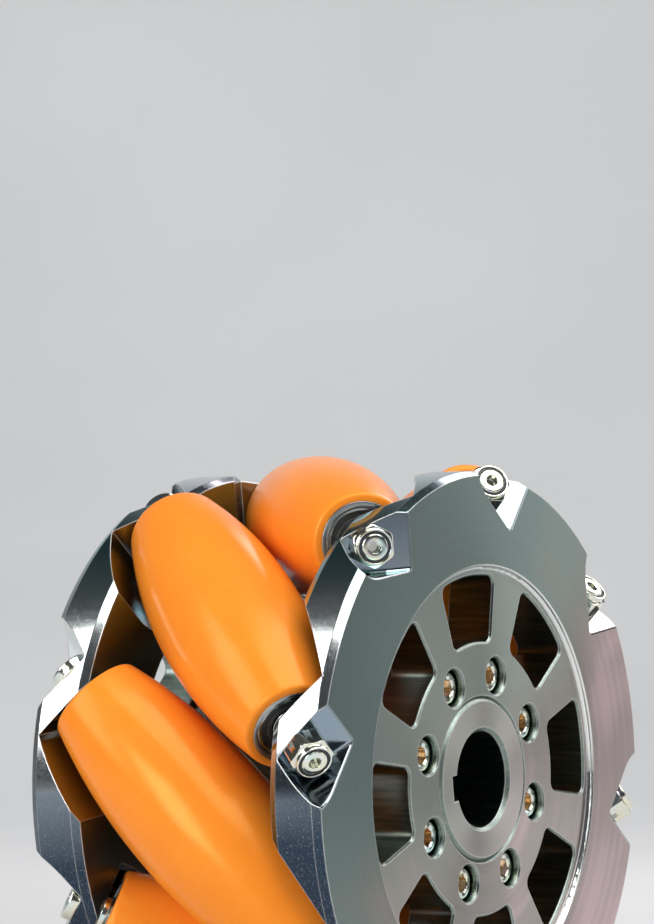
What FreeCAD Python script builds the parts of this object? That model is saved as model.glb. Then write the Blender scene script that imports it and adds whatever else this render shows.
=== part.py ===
import FreeCAD, Part

import math
import os

# Heavy-duty mecanum wheel: two machined plates on a flanged hub, with eight
# free-spinning barrel rollers held at 45 degrees between them.
# Millimetres.  Wheel axis = Y, front plate towards -Y, +Z up, origin at the
# centre of the wheel.  Angles run counter-clockwise seen from the front.

# ---- whole wheel -----------------------------------------------------------
ROLLER_COUNT = 8
PITCH_ANGLE = 360.0 / ROLLER_COUNT
FIRST_ROLLER_ANGLE = 53.0
WHEEL_RADIUS = 101.6          # cylinder the rollers roll on
WIDTH = 105.5                 # plate face to plate face
ROLLER_CIRCLE = 79.0          # radius of the circle of roller centres
SKEW = math.radians(45.0)     # roller axis against the wheel axis

# ---- plates ----------------------------------------------------------------
PLATE_THICKNESS = 17.8
RIM_RADIUS = 95.8
FACE_RADIUS = 94.4
RIM_CHAMFER = 2.6             # measured along the wheel axis
RECESS_RADIUS = 66.3
RECESS_DEPTH = 1.9
RECESS_COVE = 1.4             # radius at the foot of the recess wall
RECESS_CHAMFER = 0.4
PLATE_BORE = 25.28
PLATE_BORE_CHAMFER = 0.8
WINDOW_INNER = 42.7
WINDOW_OUTER = 63.4
WINDOW_HALF_ANGLE = 14.3
WINDOW_FILLET = 2.8
WINDOW_CHAMFER = 0.6

# ---- seats for the roller axles, measured along the roller axis ------------
SEAT = 54.8                   # inner face, against the end spacer
FLOOR = 62.1                  # outer face, under the nut or bolt head
NOTCH_RADIUS = 8.8            # room round the nut
NOTCH_REACH = 28.0            # how far the notch runs outwards and along
NOTCH_OVERCUT = 15.0          # how far the notch runs past the plate face
NOTCH_FILLET = 1.0            # tool radius between the floor and the wall
NOTCH_CHAMFER = 0.4           # where the notch meets the plate face
POCKET_RADIUS = 25.7          # room round the roller at mid length
POCKET_ARC = 157.0            # radius of the curved pocket wall
POCKET_REACH = 34.0
AXLE_HOLE = 4.2

# ---- hub -------------------------------------------------------------------
HUB_RADIUS = 40.5
HUB_CHAMFER = 1.0
SPIGOT_RADIUS = 25.25
SPIGOT_PROUD = 0.4            # above the recessed face of the plate
SPIGOT_CHAMFER = 1.0
BORE_RADIUS = 15.0
BORE_CHAMFER = 1.2
KEY_WIDTH = 8.0
KEY_DEPTH = 3.3
KEY_PITCHES = 3               # keyway position, in roller pitches

# ---- M6 socket head screws holding plates to hub ---------------------------
SCREW_CIRCLE = 33.0
SCREW_RADIUS = 3.0
SCREW_HOLE = 3.3
SCREW_LENGTH = 20.0
SCREW_HEAD_RADIUS = 5.0
SCREW_HEAD_HEIGHT = 6.0
SCREW_HEAD_CHAMFER = 0.6
SCREW_SOCKET = 5.0            # across flats
SCREW_SOCKET_DEPTH = 3.0
COUNTERBORE_RADIUS = 5.8
COUNTERBORE_DEPTH = 8.4
COUNTERBORE_CHAMFER = 0.6

# ---- M8 axle bolts and lock nuts -------------------------------------------
BOLT_RADIUS = 4.0
BOLT_END = 70.3
BOLT_END_CHAMFER = 0.7
BOLT_END_HOLE = 1.9
BOLT_END_HOLE_DEPTH = 3.0
BOLT_HEAD_RADIUS = 6.5
BOLT_HEAD_HEIGHT = 3.2
BOLT_HEAD_CHAMFER = 0.6
BOLT_SOCKET = 5.0             # across flats
BOLT_SOCKET_DEPTH = 2.2
NUT_ACROSS_FLATS = 12.0
NUT_TOP_INSET = 0.2
NUT_CORNER_SLOPE = math.radians(30.0)
NUT_HEX_HEIGHT = 6.3
NUT_HEIGHT = 8.0
NUT_COLLAR_RADIUS = 5.5
NUT_COLLAR_CHAMFER = 0.8

# ---- rollers ---------------------------------------------------------------
TYRE_HALF = 52.5
TYRE_LIP = 2.2
CORE_RADIUS = 12.5
CORE_BORE = 9.0
CORE_CHAMFER = 0.5
BEARING_RADIUS = 11.0         # 608 bearing: 8 x 22 x 7
BEARING_WIDTH = 7.0
BEARING_OUTER_BORE = 9.6
BEARING_INNER_RADIUS = 6.05
BEARING_FACE = 51.7
SEAL_THICKNESS = 0.6
SEAL_BORE = 6.45
SEAL_INSET = 0.25
SPACER_RADIUS = 5.6
SPACER_BORE = 4.1
END_SPACER_RADIUS = 6.0
PROFILE_STEPS = 12
SWEEP_DEGREES = 60            # part of the section tested against the wheel

MARGIN = 1.0                  # how far cutters run past the faces they cut
TOLERANCE = 1e-3
Y_AXIS = FreeCAD.Vector(0, 1, 0)
CENTRE = FreeCAD.Vector(0, 0, 0)
FULL_TURN = 360.0
HALF_TURN = 180.0
QUARTER_TURN = 90.0
HEX_SIDES = 6
HALF_WIDTH = WIDTH / 2


def vec(x, y, z):
    return FreeCAD.Vector(x, y, z)


def polygon(points):
    return Part.Face(Part.makePolygon(points + [points[0]]))


def revolved(profile):
    """Solid of revolution about Y from (radius, y) points."""
    face = polygon([vec(radius, y, 0) for radius, y in profile])
    return face.revolve(CENTRE, Y_AXIS, FULL_TURN)


def turned(profile):
    """Solid of revolution about Z from (radius, z) points."""
    face = polygon([vec(radius, 0, z) for radius, z in profile])
    return face.revolve(CENTRE, vec(0, 0, 1), FULL_TURN)


def rod(radius, start, end):
    return Part.makeCylinder(radius, end - start, vec(0, 0, start))


def tube(outer, inner, start, end):
    return rod(outer, start, end).cut(rod(inner, start - MARGIN, end + MARGIN))


def hexagon(across_flats, start, end):
    corner = across_flats / math.sqrt(3)
    points = []
    for index in range(HEX_SIDES):
        angle = math.radians(FULL_TURN / HEX_SIDES * index)
        points.append(vec(corner * math.cos(angle), corner * math.sin(angle), start))
    return polygon(points).extrude(vec(0, 0, end - start))


def chamfered_hexagon(across_flats, start, end):
    """Hexagon with the corners of its upper end turned off."""
    slope = math.tan(NUT_CORNER_SLOPE)
    top_radius = across_flats / 2 - NUT_TOP_INSET
    wide_radius = across_flats / math.sqrt(3) + MARGIN
    cone_profile = [
        (0, start),
        (wide_radius, start),
        (wide_radius, end - (wide_radius - top_radius) * slope),
        (top_radius, end),
        (0, end),
    ]
    return hexagon(across_flats, start, end).common(turned(cone_profile))


def roller_angle(index):
    return FIRST_ROLLER_ANGLE + PITCH_ANGLE * index


def roller_placement(index):
    """Local Z runs along the roller axis to the front, local X radially outwards."""
    angle = math.radians(roller_angle(index))
    outward = vec(math.cos(angle), 0, math.sin(angle))
    along = vec(-math.sin(angle), 0, math.cos(angle))
    axis = along * math.sin(SKEW) - Y_AXIS * math.cos(SKEW)
    rotation = FreeCAD.Rotation(outward, vec(0, 0, 0), axis, "ZXY")
    return FreeCAD.Placement(outward * ROLLER_CIRCLE, rotation)


def on_roller(shape, index):
    placed = shape.copy()
    placed.Placement = roller_placement(index).multiply(placed.Placement)
    return placed


def on_every_roller(shape):
    return [on_roller(shape, index) for index in range(ROLLER_COUNT)]


def flipped(shape):
    """The same shape at the other end of the roller."""
    copy = shape.copy()
    copy.rotate(CENTRE, vec(1, 0, 0), HALF_TURN)
    return copy


def barrel_radius(station):
    """Largest radius at this station that stays inside the wheel cylinder."""
    best = WHEEL_RADIUS
    for step in range(-SWEEP_DEGREES, SWEEP_DEGREES + 1):
        angle = math.radians(step)
        sideways = math.sin(angle) * math.sin(SKEW)
        offset = station * math.sin(SKEW)
        a = math.cos(angle) ** 2 + sideways ** 2
        b = 2 * (ROLLER_CIRCLE * math.cos(angle) + offset * sideways)
        c = ROLLER_CIRCLE ** 2 + offset ** 2 - WHEEL_RADIUS ** 2
        best = min(best, (-b + math.sqrt(b * b - 4 * a * c)) / (2 * a))
    return best


def write(name, shapes):
    shape = shapes if isinstance(shapes, Part.Shape) else Part.makeCompound(shapes)
    shape.exportStep("parts/" + name + ".step")


# ---- plates ----------------------------------------------------------------

def plate_blank():
    outer = -HALF_WIDTH
    web = outer + RECESS_DEPTH
    inner = outer + PLATE_THICKNESS
    blank = revolved([
        (PLATE_BORE, inner),
        (PLATE_BORE, web + PLATE_BORE_CHAMFER),
        (PLATE_BORE + PLATE_BORE_CHAMFER, web),
        (RECESS_RADIUS, web),
        (RECESS_RADIUS, outer + RECESS_CHAMFER),
        (RECESS_RADIUS + RECESS_CHAMFER, outer),
        (FACE_RADIUS, outer),
        (RIM_RADIUS, outer + RIM_CHAMFER),
        (RIM_RADIUS, inner - RIM_CHAMFER),
        (FACE_RADIUS, inner),
    ])
    foot = [edge for edge in blank.Edges if is_recess_foot(edge, web)]
    return blank.makeFillet(RECESS_COVE, foot)


def is_recess_foot(edge, web):
    box = edge.BoundBox
    on_web = box.YLength < TOLERANCE and abs(box.YMin - web) < TOLERANCE
    return on_web and abs(box.XMax - RECESS_RADIUS) < TOLERANCE


def window_outline(y, inner_radius, outer_radius, margin):
    """Closed outline of one window, its sides moved out by margin."""
    half = math.radians(WINDOW_HALF_ANGLE)
    inner_angle = half + math.asin(margin / inner_radius)
    outer_angle = half + math.asin(margin / outer_radius)

    def at(radius, angle):
        return vec(radius * math.cos(angle), y, radius * math.sin(angle))

    inner_arc = Part.Arc(at(inner_radius, -inner_angle), at(inner_radius, 0), at(inner_radius, inner_angle))
    outer_arc = Part.Arc(at(outer_radius, outer_angle), at(outer_radius, 0), at(outer_radius, -outer_angle))
    first_side = Part.makeLine(at(inner_radius, inner_angle), at(outer_radius, outer_angle))
    second_side = Part.makeLine(at(outer_radius, -outer_angle), at(inner_radius, -inner_angle))
    return Part.Wire([inner_arc.toShape(), first_side, outer_arc.toShape(), second_side])


def window_cutter():
    """One window through the web, corners rounded and front edge broken."""
    web = -HALF_WIDTH + RECESS_DEPTH
    start = web - MARGIN
    depth = PLATE_THICKNESS + 2 * MARGIN
    outline = window_outline(start, WINDOW_INNER, WINDOW_OUTER, 0)
    block = Part.Face(outline).extrude(Y_AXIS * depth)
    corners = [edge for edge in block.Edges if is_straight_along_y(edge)]
    block = block.makeFillet(WINDOW_FILLET, corners)
    wide = window_outline(web, WINDOW_INNER - WINDOW_CHAMFER, WINDOW_OUTER + WINDOW_CHAMFER, WINDOW_CHAMFER)
    lip = Part.Face(wide).extrude(Y_AXIS * WINDOW_CHAMFER)
    lip_corners = [edge for edge in lip.Edges if is_straight_along_y(edge)]
    lip = lip.makeFillet(WINDOW_FILLET + WINDOW_CHAMFER, lip_corners)
    rear_edges = [edge for edge in lip.Edges if edge.BoundBox.YMin > web + WINDOW_CHAMFER / 2]
    lip = lip.makeChamfer(WINDOW_CHAMFER - TOLERANCE, rear_edges)
    return block.fuse(lip)


def is_straight_along_y(edge):
    box = edge.BoundBox
    return box.XLength < TOLERANCE and box.ZLength < TOLERANCE


def counterbore_cutter():
    """Hole, counterbore and edge break for one hub screw, along Y."""
    web = -HALF_WIDTH + RECESS_DEPTH
    seat = web + COUNTERBORE_DEPTH
    return revolved([
        (0, web - MARGIN),
        (COUNTERBORE_RADIUS + COUNTERBORE_CHAMFER, web - MARGIN),
        (COUNTERBORE_RADIUS + COUNTERBORE_CHAMFER, web),
        (COUNTERBORE_RADIUS, web + COUNTERBORE_CHAMFER),
        (COUNTERBORE_RADIUS, seat),
        (SCREW_HOLE, seat),
        (SCREW_HOLE, -HALF_WIDTH + PLATE_THICKNESS + MARGIN),
        (0, -HALF_WIDTH + PLATE_THICKNESS + MARGIN),
    ])


def notch_cutter():
    """Open-sided slot round the nut, in roller axes."""
    near = -NOTCH_RADIUS
    far = NOTCH_RADIUS
    corner = NOTCH_RADIUS / math.sqrt(2)
    arc = Part.Arc(vec(near, 0, FLOOR), vec(-corner, corner, FLOOR), vec(0, far, FLOOR))
    outline = Part.Wire([
        Part.makeLine(vec(near, -NOTCH_OVERCUT, FLOOR), vec(near, 0, FLOOR)),
        arc.toShape(),
        Part.makeLine(vec(0, far, FLOOR), vec(NOTCH_REACH, far, FLOOR)),
        Part.makeLine(vec(NOTCH_REACH, far, FLOOR), vec(NOTCH_REACH, -NOTCH_OVERCUT, FLOOR)),
        Part.makeLine(vec(NOTCH_REACH, -NOTCH_OVERCUT, FLOOR), vec(near, -NOTCH_OVERCUT, FLOOR)),
    ])
    slot = Part.Face(outline).extrude(vec(0, 0, NOTCH_REACH))
    wall_foot = [edge for edge in slot.Edges if runs_along_wall_foot(edge)]
    return slot.makeFillet(NOTCH_FILLET, wall_foot)


def runs_along_wall_foot(edge):
    """Floor edges on the inner side and the far side of the notch."""
    box = edge.BoundBox
    on_floor = box.ZLength < TOLERANCE and abs(box.ZMin - FLOOR) < TOLERANCE
    return on_floor and box.XMin < NOTCH_REACH - TOLERANCE and box.YMax > -TOLERANCE


def pocket_cutter():
    """Curved pocket that clears the roller, open outwards, in roller axes."""
    end_radius = POCKET_RADIUS - SEAT ** 2 / (2 * POCKET_ARC)
    arc = Part.Arc(vec(0, end_radius, -SEAT), vec(0, POCKET_RADIUS, 0), vec(0, end_radius, SEAT)).toShape()
    mirrored = arc.copy()
    mirrored.rotate(CENTRE, vec(0, 0, 1), HALF_TURN)
    top = Part.makeLine(vec(0, end_radius, SEAT), vec(0, -end_radius, SEAT))
    bottom = Part.makeLine(vec(0, -end_radius, -SEAT), vec(0, end_radius, -SEAT))
    slot = Part.Face(Part.Wire([arc, top, mirrored, bottom])).extrude(vec(POCKET_REACH, 0, 0))
    half_outline = Part.Wire([
        arc,
        Part.makeLine(vec(0, end_radius, SEAT), vec(0, 0, SEAT)),
        Part.makeLine(vec(0, 0, SEAT), vec(0, 0, -SEAT)),
        Part.makeLine(vec(0, 0, -SEAT), vec(0, end_radius, -SEAT)),
    ])
    barrel = Part.Face(half_outline).revolve(CENTRE, vec(0, 0, 1), FULL_TURN)
    return slot.fuse(barrel)


def make_front_plate():
    plate = plate_blank()
    cutters = []
    window = window_cutter()
    counterbore = counterbore_cutter()
    notch = notch_cutter()
    pocket = pocket_cutter()
    hole = rod(AXLE_HOLE, 0, BOLT_END)
    for index in range(ROLLER_COUNT):
        angle = roller_angle(index)
        opening = window.copy()
        opening.rotate(CENTRE, Y_AXIS, -angle)
        cutters.append(opening)
        bore = counterbore.copy()
        bore.translate(vec(SCREW_CIRCLE, 0, 0))
        bore.rotate(CENTRE, Y_AXIS, -angle - PITCH_ANGLE / 2)
        cutters.append(bore)
        cutters.append(on_roller(notch, index))
        cutters.append(on_roller(pocket, index))
        cutters.append(on_roller(hole, index))
    for cutter in cutters:
        plate = plate.cut(cutter)
    plate = plate.Solids[0]
    lips = [edge for edge in plate.Edges if lies_on_face(edge) and not runs_round_wheel(edge)]
    return plate.makeChamfer(NOTCH_CHAMFER, lips)


def lies_on_face(edge):
    box = edge.BoundBox
    return box.YLength < TOLERANCE and abs(box.YMin + HALF_WIDTH) < TOLERANCE


def runs_round_wheel(edge):
    return isinstance(edge.Curve, Part.Circle)


def turned_to_rear(shape):
    """Half a turn about the radial line through the first roller."""
    angle = math.radians(FIRST_ROLLER_ANGLE)
    copy = shape.copy()
    copy.rotate(CENTRE, vec(math.cos(angle), 0, math.sin(angle)), HALF_TURN)
    return copy


# ---- hub and its screws ----------------------------------------------------

def make_hub():
    drum = HALF_WIDTH - PLATE_THICKNESS
    end = HALF_WIDTH - RECESS_DEPTH + SPIGOT_PROUD
    upper = [
        (BORE_RADIUS, end - BORE_CHAMFER),
        (BORE_RADIUS + BORE_CHAMFER, end),
        (SPIGOT_RADIUS - SPIGOT_CHAMFER, end),
        (SPIGOT_RADIUS, end - SPIGOT_CHAMFER),
        (SPIGOT_RADIUS, drum),
        (HUB_RADIUS - HUB_CHAMFER, drum),
        (HUB_RADIUS, drum - HUB_CHAMFER),
    ]
    lower = [(radius, -y) for radius, y in reversed(upper)]
    hub = revolved(upper + lower)
    keyway = Part.makeBox(BORE_RADIUS + KEY_DEPTH, WIDTH, KEY_WIDTH, vec(0, -HALF_WIDTH, -KEY_WIDTH / 2))
    keyway.rotate(CENTRE, Y_AXIS, -roller_angle(KEY_PITCHES))
    hub = hub.cut(keyway)
    depth = COUNTERBORE_DEPTH + SCREW_LENGTH - (HALF_WIDTH - RECESS_DEPTH - drum) + MARGIN
    for index in range(ROLLER_COUNT):
        for side in (-1, 1):
            start = side * drum - (0 if side < 0 else depth)
            hole = Part.makeCylinder(SCREW_RADIUS, depth, vec(SCREW_CIRCLE, start, 0), Y_AXIS)
            hole.rotate(CENTRE, Y_AXIS, -roller_angle(index) - PITCH_ANGLE / 2)
            hub = hub.cut(hole)
    return hub


def hub_screw():
    """Socket head cap screw pointing along +Z, head bearing on z = 0."""
    head = turned([
        (0, -SCREW_HEAD_HEIGHT),
        (SCREW_HEAD_RADIUS - SCREW_HEAD_CHAMFER, -SCREW_HEAD_HEIGHT),
        (SCREW_HEAD_RADIUS, -SCREW_HEAD_HEIGHT + SCREW_HEAD_CHAMFER),
        (SCREW_HEAD_RADIUS, 0),
        (0, 0),
    ])
    socket = hexagon(SCREW_SOCKET, -SCREW_HEAD_HEIGHT - MARGIN, -SCREW_HEAD_HEIGHT + SCREW_SOCKET_DEPTH)
    return head.fuse(rod(SCREW_RADIUS, 0, SCREW_LENGTH)).cut(socket)


def make_front_screws():
    screw = hub_screw()
    screw.rotate(CENTRE, vec(1, 0, 0), -QUARTER_TURN)
    seat = -HALF_WIDTH + RECESS_DEPTH + COUNTERBORE_DEPTH
    screw.translate(vec(SCREW_CIRCLE, seat, 0))
    screws = []
    for index in range(ROLLER_COUNT):
        copy = screw.copy()
        copy.rotate(CENTRE, Y_AXIS, -roller_angle(index) - PITCH_ANGLE / 2)
        screws.append(copy)
    return screws


# ---- roller axles ----------------------------------------------------------

def make_axle_bolt():
    """Low-head socket screw with its head at the rear end of the roller."""
    head_end = FLOOR + BOLT_HEAD_HEIGHT
    shank = turned([
        (0, -FLOOR),
        (BOLT_RADIUS, -FLOOR),
        (BOLT_RADIUS, BOLT_END - BOLT_END_CHAMFER),
        (BOLT_RADIUS - BOLT_END_CHAMFER, BOLT_END),
        (0, BOLT_END),
    ])
    head = turned([
        (0, -head_end),
        (BOLT_HEAD_RADIUS - BOLT_HEAD_CHAMFER, -head_end),
        (BOLT_HEAD_RADIUS, -head_end + BOLT_HEAD_CHAMFER),
        (BOLT_HEAD_RADIUS, -FLOOR),
        (0, -FLOOR),
    ])
    socket = hexagon(BOLT_SOCKET, -head_end - MARGIN, -head_end + BOLT_SOCKET_DEPTH)
    end_hole = rod(BOLT_END_HOLE, BOLT_END - BOLT_END_HOLE_DEPTH, BOLT_END + MARGIN)
    return shank.fuse(head).cut(socket).cut(end_hole)


def make_lock_nut():
    body = chamfered_hexagon(NUT_ACROSS_FLATS, FLOOR, FLOOR + NUT_HEX_HEIGHT)
    collar = turned([
        (0, FLOOR + NUT_HEX_HEIGHT - MARGIN),
        (NUT_COLLAR_RADIUS, FLOOR + NUT_HEX_HEIGHT - MARGIN),
        (NUT_COLLAR_RADIUS, FLOOR + NUT_HEIGHT - NUT_COLLAR_CHAMFER),
        (NUT_COLLAR_RADIUS - NUT_COLLAR_CHAMFER, FLOOR + NUT_HEIGHT),
        (0, FLOOR + NUT_HEIGHT),
    ])
    hole = rod(BOLT_RADIUS, FLOOR - MARGIN, FLOOR + NUT_HEIGHT + MARGIN)
    return body.fuse(collar).cut(hole)


def make_inner_ring():
    return tube(BEARING_INNER_RADIUS, BOLT_RADIUS, BEARING_FACE - BEARING_WIDTH, BEARING_FACE)


def make_end_spacer():
    return tube(END_SPACER_RADIUS, SPACER_BORE, BEARING_FACE, SEAT)


def make_axle_sleeve():
    end = BEARING_FACE - BEARING_WIDTH
    return tube(SPACER_RADIUS, SPACER_BORE, -end, end)


# ---- rollers ---------------------------------------------------------------

def make_tyre():
    """Polyurethane barrel moulded on the core, ends rounded over."""
    stations = [TYRE_HALF * step / PROFILE_STEPS for step in range(-PROFILE_STEPS, PROFILE_STEPS + 1)]
    curve = Part.BSplineCurve()
    curve.interpolate([vec(barrel_radius(station), 0, station) for station in stations])
    end_radius = barrel_radius(TYRE_HALF)
    outline = Part.Wire([
        curve.toShape(),
        Part.makeLine(vec(end_radius, 0, TYRE_HALF), vec(CORE_RADIUS, 0, TYRE_HALF)),
        Part.makeLine(vec(CORE_RADIUS, 0, TYRE_HALF), vec(CORE_RADIUS, 0, -TYRE_HALF)),
        Part.makeLine(vec(CORE_RADIUS, 0, -TYRE_HALF), vec(end_radius, 0, -TYRE_HALF)),
    ])
    tyre = Part.Face(outline).revolve(CENTRE, vec(0, 0, 1), FULL_TURN)
    rims = []
    for edge in tyre.Edges:
        box = edge.BoundBox
        at_end = box.ZLength < TOLERANCE and abs(abs(box.ZMin) - TYRE_HALF) < TOLERANCE
        if at_end and box.XMax > CORE_RADIUS + MARGIN:
            rims.append(edge)
    return tyre.makeFillet(TYRE_LIP, rims)


def make_core():
    """Tube with a bearing seat bored into each end."""
    shoulder = BEARING_FACE - BEARING_WIDTH
    upper = [
        (CORE_BORE, shoulder),
        (BEARING_RADIUS, shoulder),
        (BEARING_RADIUS, TYRE_HALF - CORE_CHAMFER),
        (BEARING_RADIUS + CORE_CHAMFER, TYRE_HALF),
        (CORE_RADIUS, TYRE_HALF),
    ]
    lower = [(radius, -z) for radius, z in reversed(upper)]
    return turned(upper + lower)


def make_outer_ring():
    return tube(BEARING_RADIUS, BEARING_OUTER_BORE, BEARING_FACE - BEARING_WIDTH, BEARING_FACE)


def make_seals():
    """The two seals of one bearing, pressed into its outer ring."""
    outer_face = BEARING_FACE - SEAL_INSET
    inner_face = BEARING_FACE - BEARING_WIDTH + SEAL_INSET
    return [
        tube(BEARING_OUTER_BORE, SEAL_BORE, outer_face - SEAL_THICKNESS, outer_face),
        tube(BEARING_OUTER_BORE, SEAL_BORE, inner_face, inner_face + SEAL_THICKNESS),
    ]


def main():
    os.makedirs("parts", exist_ok=True)

    front_plate = make_front_plate()
    write("front_plate", front_plate)
    write("rear_plate", turned_to_rear(front_plate))
    write("hub", make_hub())
    front_screws = make_front_screws()
    write("hub_screws_front", front_screws)
    write("hub_screws_rear", [turned_to_rear(screw) for screw in front_screws])

    write("axle_bolts", on_every_roller(make_axle_bolt()))
    write("lock_nuts", on_every_roller(make_lock_nut()))
    write("axle_sleeves", on_every_roller(make_axle_sleeve()))
    end_spacer = make_end_spacer()
    write("end_spacers", on_every_roller(end_spacer) + on_every_roller(flipped(end_spacer)))
    inner_ring = make_inner_ring()
    write("bearing_inner_rings", on_every_roller(inner_ring) + on_every_roller(flipped(inner_ring)))

    tyre = make_tyre()
    core = make_core()
    outer_ring = make_outer_ring()
    outer_rings = [outer_ring, flipped(outer_ring)]
    seals = make_seals()
    all_seals = seals + [flipped(seal) for seal in seals]
    for index in range(ROLLER_COUNT):
        label = str(index + 1)
        write("roller_tyre_" + label, on_roller(tyre, index))
        write("roller_core_" + label, on_roller(core, index))
        write("bearing_outer_rings_" + label, [on_roller(ring, index) for ring in outer_rings])
        write("bearing_seals_" + label, [on_roller(seal, index) for seal in all_seals])


main()
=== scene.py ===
import math

import bmesh
import bpy
from mathutils import Matrix, Vector


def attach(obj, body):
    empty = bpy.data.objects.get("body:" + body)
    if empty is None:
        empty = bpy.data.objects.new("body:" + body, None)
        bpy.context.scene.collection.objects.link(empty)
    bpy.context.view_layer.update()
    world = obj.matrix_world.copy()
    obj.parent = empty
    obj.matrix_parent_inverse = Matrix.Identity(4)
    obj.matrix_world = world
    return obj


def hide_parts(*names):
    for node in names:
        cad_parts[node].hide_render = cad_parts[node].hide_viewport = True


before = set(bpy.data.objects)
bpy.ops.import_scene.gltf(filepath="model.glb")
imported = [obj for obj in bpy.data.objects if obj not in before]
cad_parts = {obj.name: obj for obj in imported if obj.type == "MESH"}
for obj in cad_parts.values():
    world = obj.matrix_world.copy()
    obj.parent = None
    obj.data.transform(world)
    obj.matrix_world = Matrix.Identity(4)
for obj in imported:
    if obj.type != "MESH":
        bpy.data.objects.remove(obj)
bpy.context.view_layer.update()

MM = 0.001

# ---- wheel dimensions in millimetres, the same as the CAD part -------------
ROLLERS = 8
PITCH_ANGLE = 360 / ROLLERS
FIRST_ANGLE = 53.0
WHEEL_RADIUS = 101.6
ROLLER_CIRCLE = 79.0
SKEW = math.radians(45.0)
HALF_WIDTH = 52.75
RECESS_DEPTH = 1.9
COUNTERBORE_DEPTH = 8.4
SKIN_CLEARANCE = 0.03         # keeps the smooth tyres inside the faceted CAD box
FIT_CLEARANCE = 0.02          # between nested pieces
SWEEP_DEGREES = 60            # part of the section tested against the wheel

SEAT = 54.8
FLOOR = 62.1
TYRE_HALF = 52.5
TYRE_LIP = 2.2
TYRE_BORE_ROUNDING = 0.35
CORE_RADIUS = 12.5
CORE_BORE = 9.0
CORE_MOUTH_ROUNDING = 0.45
CORE_RIM_ROUNDING = 0.2
BEARING_RADIUS = 11.0
BEARING_FACE = 51.7
BEARING_WIDTH = 7.0
OUTER_RING_BORE = 9.6
RING_ROUNDING = 0.4
RING_LIP = 0.15
RING_LIP_DEPTH = 0.5
INNER_RING_RADIUS = 6.05
INNER_RING_ROUNDING = 0.25
INNER_BORE_ROUNDING = 0.3
SEAL_BORE = 6.45
SEAL_INSET = 0.25
SEAL_THICKNESS = 0.6
SEAL_RIM_WIDTH = 0.5
SEAL_RIM_DROP = 0.1
SEAL_STEP = 0.2
SEAL_PAN_DROP = 0.3
SEAL_BEAD_INNER = 0.4
SEAL_BEAD_OUTER = 1.0
SEAL_LIP_DROP = 0.25
SEAL_ROUNDING = 0.1
SEAL_BEAD_ROUNDING = 0.12
SEAL_LIP_ROUNDING = 0.08
END_SPACER_RADIUS = 6.0
SLEEVE_RADIUS = 5.6
SPACER_BORE = 4.1
SPACER_BORE_ROUNDING = 0.2
SPACER_ROUNDING = 0.35
SLEEVE_ROUNDING = 0.4

BOLT_RADIUS = 4.0
BOLT_END = 70.3
BOLT_END_HOLE = 1.9
BOLT_END_HOLE_DEPTH = 3.0
BOLT_END_ROUNDING = 0.6
BOLT_HOLE_ROUNDING = 0.15
BOLT_HEAD_RADIUS = 6.5
BOLT_HEAD_HEIGHT = 3.2
BOLT_SOCKET = 5.0
BOLT_SOCKET_DEPTH = 2.2
BOLT_SOCKET_INSET = 0.4
BOLT_SOCKET_MOUTH = 0.25
BOLT_HEAD_ROUNDING = 0.75
BOLT_SEAT_ROUNDING = 0.2
SOCKET_FLOOR_STEP = 0.05
SOCKET_LIP = 0.15
NUT_FLATS = 12.0
NUT_TOP_INSET = 0.2
NUT_BOTTOM_INSET = 0.1
NUT_BOTTOM_CHAMFER = 0.25
NUT_HEX_HEIGHT = 6.3
NUT_HEIGHT = 8.0
NUT_COLLAR = 5.5
NUT_COLLAR_STEP = 0.05
NUT_COLLAR_FOOT_ROUNDING = 0.2
NUT_COLLAR_ROUNDING = 1.1
NUT_MOUTH = 4.9
NUT_MOUTH_DROP = 0.1
NUT_MOUTH_DEPTH = 1.2
NUT_MOUTH_ROUNDING = 0.25
INSERT_CLEARANCE = 0.03
INSERT_FLOOR = 1.15           # these three are depths below the end of the nut
INSERT_OUTER_TOP = 0.5
INSERT_INNER_TOP = 0.35
INSERT_ROUNDING = 0.15

SCREW_CIRCLE = 33.0
SCREW_RADIUS = 3.0
SCREW_LENGTH = 20.0
SCREW_HEAD_RADIUS = 5.0
SCREW_HEAD_HEIGHT = 6.0
SCREW_SOCKET = 5.0
SCREW_SOCKET_DEPTH = 3.0
SCREW_SOCKET_INSET = 0.5
SCREW_SOCKET_MOUTH = 0.3
SCREW_HEAD_ROUNDING = 0.7
SCREW_SEAT_ROUNDING = 0.15
SCREW_TIP_ROUNDING = 0.5
SCREW_TIP_RADIUS = 0.5
SCREW_SEAT = HALF_WIDTH - RECESS_DEPTH - COUNTERBORE_DEPTH

SEGMENTS = 96
TYRE_SEGMENTS = 144
TYRE_STATIONS = 48
SHARP_ANGLE = math.radians(34)
ROUNDING_STEPS = 4
LONGEST_ROUNDING = 0.49       # share of an outline's straight side
HEX_SIDE_ANGLE = math.radians(60)
HEX_CORNER_SLOPE = math.radians(30)
HEX_CORNER_BLUNT = 0.02       # share of the width across flats


# ---- mesh building ----------------------------------------------------------

def circle(radius, z, segments=SEGMENTS):
    step = 2 * math.pi / segments
    return [Vector((radius * math.cos(i * step), radius * math.sin(i * step), z)) for i in range(segments)]


def hexagon_radius(across_flats, angle):
    """Distance from the centre to a hexagon with a corner at angle zero, corners just blunted."""
    from_flat = angle % HEX_SIDE_ANGLE - HEX_SIDE_ANGLE / 2
    corner = across_flats / math.sqrt(3)
    return min(across_flats / 2 / math.cos(from_flat), corner - HEX_CORNER_BLUNT * across_flats)


def hexagon(across_flats, z, segments=SEGMENTS):
    points = []
    for i in range(segments):
        angle = 2 * math.pi * i / segments
        radius = hexagon_radius(across_flats, angle)
        points.append(Vector((radius * math.cos(angle), radius * math.sin(angle), z)))
    return points


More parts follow.
